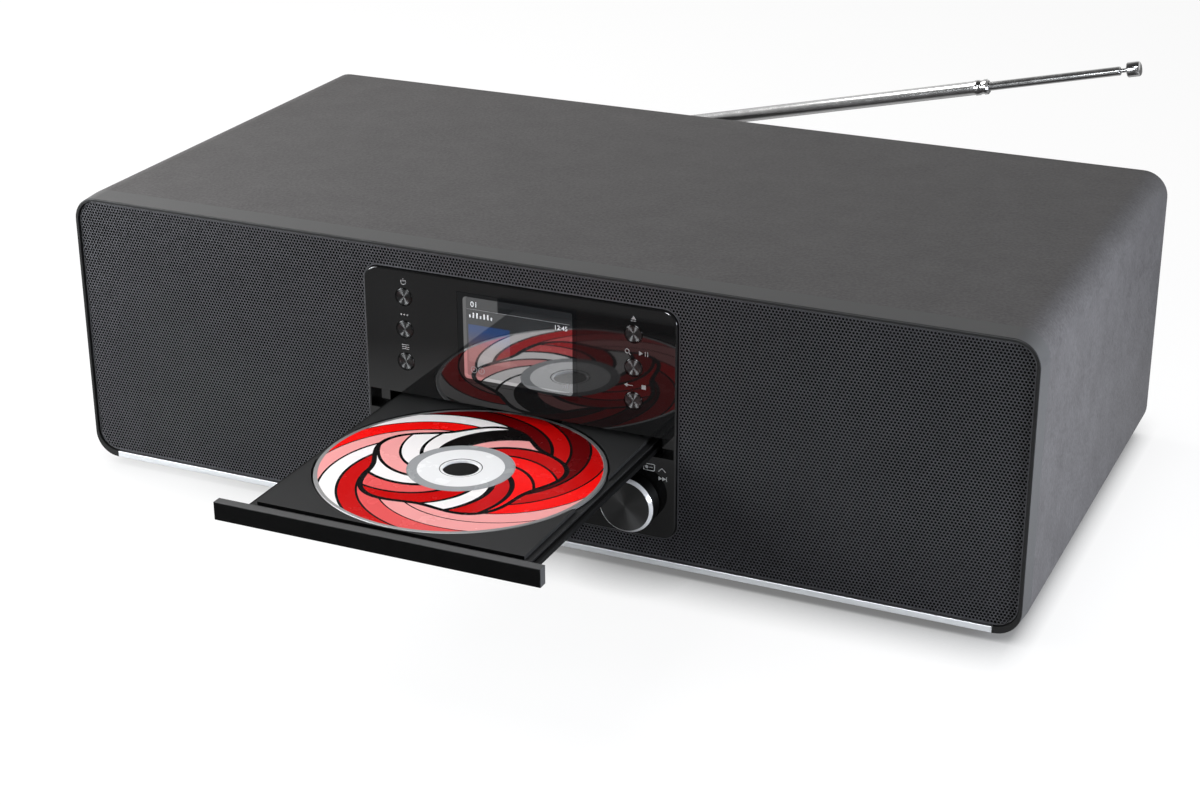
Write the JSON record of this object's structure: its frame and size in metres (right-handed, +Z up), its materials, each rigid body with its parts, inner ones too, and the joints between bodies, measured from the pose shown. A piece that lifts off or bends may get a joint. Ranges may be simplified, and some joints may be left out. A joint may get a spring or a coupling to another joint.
{
  "type": "all-in-one audio system",
  "caption": "Long rounded cabinet with a perforated front, gloss control panel, display, push and turn knob, powered disc tray holding a disc, and a telescopic rod antenna behind.",
  "frame": {"origin": "centre of the cabinet's underside; the feet reach 3 mm below it", "axes": "+X to the right seen from the front, +Y to the back, +Z up; the tray slides out along -Y"},
  "size_m": [0.447, 0.3706, 0.1804],
  "materials": {
    "foil_wrap": "anthracite textured foil on fibreboard",
    "ring_plastic": "anthracite, fine texture",
    "grille_metal": "perforated sheet, dark grey satin paint",
    "bright_trim": "polished satin",
    "piano_black": "deep gloss black",
    "smoked_window": "smoked gloss sheet",
    "display_glass": "lit liquid crystal",
    "spun_black": "black anodised, spun face and polished edge",
    "tray_black": "satin black",
    "disc_print": "polycarbonate with a printed face",
    "black_board": "medium-density fibreboard, stained black",
    "black_plastic": "moulded black",
    "grey_plastic": "moulded grey",
    "white_plastic": "acetal",
    "steel": "zinc plated",
    "dark_screw": "black zinc",
    "ferrite": "ferrite and plated steel",
    "board_green": "solder-masked glass epoxy",
    "paper_cone": "pressed paper",
    "soft_rubber": "moulded rubber",
    "chromed_brass": "mirror chrome on brass",
    "alloy": "extruded"
  },
  "bodies": {
    "cabinet": {"cabinet_shell": "foil_wrap", "front_ring": "ring_plastic", "speaker_grille": "grille_metal", "trim_strip": "bright_trim", "control_panel": "piano_black", "display_window": "smoked_window", "display_module": "display_glass", "panel_board": "board_green", "tact_switches": "black_plastic", "encoder_body": "grey_plastic", "front_baffle": "black_board", "rear_panel": "black_plastic", "rear_panel_screws": "dark_screw", "rubber_feet": "soft_rubber", "main_board": "board_green", "board_standoffs": "white_plastic", "power_board": "board_green", "heat_sink": "alloy", "rear_jacks": "black_plastic", "mains_inlet": "black_plastic", "bass_ports": "black_plastic", "drive_frame": "black_plastic", "clamp_bridge": "steel", "loading_motor": "steel", "drive_belt": "soft_rubber", "speaker_baskets": "ferrite", "speaker_magnets": "ferrite", "left_surround": "soft_rubber", "right_surround": "soft_rubber", "speaker_screws": "dark_screw", "antenna_socket": "black_plastic"},
    "tray": {"disc_tray": "tray_black", "tray_front": "piano_black"},
    "disc": {"compact_disc": "disc_print"},
    "traverse": {"traverse_frame": "black_plastic", "traverse_dampers": "soft_rubber", "guide_rods": "steel", "sled_motor": "steel", "spindle_motor": "steel"},
    "turntable_rotor": {"turntable": "black_plastic"},
    "clamp": {"clamp_puck": "white_plastic"},
    "pickup": {"laser_pickup": "alloy"},
    "sled_screw": {"lead_screw": "steel"},
    "motor_rotor": {"motor_pulley": "white_plastic"},
    "middle_gear": {"pulley_gear": "white_plastic"},
    "rack_gear": {"drive_gear": "white_plastic"},
    "power_key": {"power_button": "spun_black"},
    "mode_key": {"mode_button": "spun_black"},
    "menu_key": {"menu_button": "spun_black"},
    "eject_key": {"eject_button": "spun_black"},
    "play_key": {"play_button": "spun_black"},
    "stop_key": {"stop_button": "spun_black"},
    "knob_push": {"encoder_plunger": "white_plastic"},
    "knob": {"volume_knob": "spun_black"},
    "left_diaphragm": {"left_cone": "paper_cone"},
    "right_diaphragm": {"right_cone": "paper_cone"},
    "antenna_head": {"antenna_swivel": "chromed_brass"},
    "antenna_base": {"antenna_base_tube": "chromed_brass"},
    "antenna_middle": {"antenna_mid_tube": "chromed_brass"},
    "antenna_tip": {"antenna_tip_rod": "chromed_brass"}
  },
  "joints": [
    {"name": "tray_slide", "type": "slide", "parent": "cabinet", "child": "tray", "axis": [0, 1, 0], "range_m": [0, 0.1264]},
    {"name": "disc_spin", "type": "hinge", "parent": "tray", "child": "disc", "pos_m": [0, -0.1684, 0.0562], "axis": [0, 0, 1], "continuous": true},
    {"name": "traverse_lift", "type": "slide", "parent": "cabinet", "child": "traverse", "axis": [0, 0, 1], "range_m": [0, 0.007]},
    {"name": "turntable_spin", "type": "hinge", "parent": "traverse", "child": "turntable_rotor", "pos_m": [0, -0.042, 0.047], "axis": [0, 0, 1], "continuous": true},
    {"name": "clamp_spin", "type": "hinge", "parent": "cabinet", "child": "clamp", "pos_m": [0, -0.042, 0.06], "axis": [0, 0, 1], "continuous": true},
    {"name": "pickup_travel", "type": "slide", "parent": "traverse", "child": "pickup", "axis": [0, 1, 0], "range_m": [0, 0.032]},
    {"name": "sled_screw_spin", "type": "hinge", "parent": "traverse", "child": "sled_screw", "pos_m": [-0.012, 0, 0.0375], "axis": [0, 1, 0], "continuous": true},
    {"name": "rack_gear_spin", "type": "hinge", "parent": "cabinet", "child": "rack_gear", "pos_m": [-0.05, -0.0723, 0.05], "axis": [0, 0, 1], "continuous": true},
    {"name": "middle_gear_spin", "type": "hinge", "parent": "cabinet", "child": "middle_gear", "pos_m": [-0.02682, -0.07851, 0.05], "axis": [0, 0, 1], "continuous": true},
    {"name": "motor_spin", "type": "hinge", "parent": "cabinet", "child": "motor_rotor", "pos_m": [0.01018, -0.07851, 0.05], "axis": [0, 0, 1], "continuous": true},
    {"name": "power_press", "type": "slide", "parent": "cabinet", "child": "power_key", "axis": [0, 1, 0], "range_m": [0, 0.0005], "stiffness_N_per_m": 800, "springref_m": -0.0005},
    {"name": "mode_press", "type": "slide", "parent": "cabinet", "child": "mode_key", "axis": [0, 1, 0], "range_m": [0, 0.0005], "stiffness_N_per_m": 800, "springref_m": -0.0005},
    {"name": "menu_press", "type": "slide", "parent": "cabinet", "child": "menu_key", "axis": [0, 1, 0], "range_m": [0, 0.0005], "stiffness_N_per_m": 800, "springref_m": -0.0005},
    {"name": "eject_press", "type": "slide", "parent": "cabinet", "child": "eject_key", "axis": [0, 1, 0], "range_m": [0, 0.0005], "stiffness_N_per_m": 800, "springref_m": -0.0005},
    {"name": "play_press", "type": "slide", "parent": "cabinet", "child": "play_key", "axis": [0, 1, 0], "range_m": [0, 0.0005], "stiffness_N_per_m": 800, "springref_m": -0.0005},
    {"name": "stop_press", "type": "slide", "parent": "cabinet", "child": "stop_key", "axis": [0, 1, 0], "range_m": [0, 0.0005], "stiffness_N_per_m": 800, "springref_m": -0.0005},
    {"name": "knob_press", "type": "slide", "parent": "cabinet", "child": "knob_push", "axis": [0, 1, 0], "range_m": [0, 0.0006], "stiffness_N_per_m": 1500, "springref_m": -0.0006},
    {"name": "volume_turn", "type": "hinge", "parent": "knob_push", "child": "knob", "pos_m": [0.05365, -0.12, 0.0305], "axis": [0, -1, 0], "continuous": true},
    {"name": "left_cone_throw", "type": "slide", "parent": "cabinet", "child": "left_diaphragm", "axis": [0, -1, 0], "range_m": [-0.002, 0.002], "stiffness_N_per_m": 1500, "deforming": ["left_surround"]},
    {"name": "right_cone_throw", "type": "slide", "parent": "cabinet", "child": "right_diaphragm", "axis": [0, -1, 0], "range_m": [-0.002, 0.002], "stiffness_N_per_m": 1500, "deforming": ["right_surround"]},
    {"name": "antenna_swing", "type": "hinge", "parent": "cabinet", "child": "antenna_head", "pos_m": [-0.075, 0.1245, 0.1098], "axis": [0, -1, 0], "range_deg": [-13, 167]},
    {"name": "antenna_tilt", "type": "hinge", "parent": "antenna_head", "child": "antenna_base", "pos_m": [-0.075, 0.1245, 0.1098], "axis": [-0.225, 0, 0.9744], "range_deg": [0, 90]},
    {"name": "antenna_middle_slide", "type": "slide", "parent": "antenna_base", "child": "antenna_middle", "axis": [0.9744, 0, 0.225], "range_m": [-0.0625, 0.119]},
    {"name": "antenna_tip_slide", "type": "slide", "parent": "antenna_middle", "child": "antenna_tip", "axis": [0.9744, 0, 0.225], "range_m": [-0.003, 0.158]}
  ],
  "couplings": [
    {"joint": "turntable_spin", "follows": "disc_spin", "ratio": 1},
    {"joint": "clamp_spin", "follows": "disc_spin", "ratio": 1},
    {"joint": "sled_screw_spin", "follows": "pickup_travel", "rad_per_m": 1047.2},
    {"joint": "rack_gear_spin", "follows": "tray_slide", "rad_per_m": -125},
    {"joint": "middle_gear_spin", "follows": "tray_slide", "rad_per_m": 375},
    {"joint": "motor_spin", "follows": "tray_slide", "rad_per_m": 1375}
  ]
}
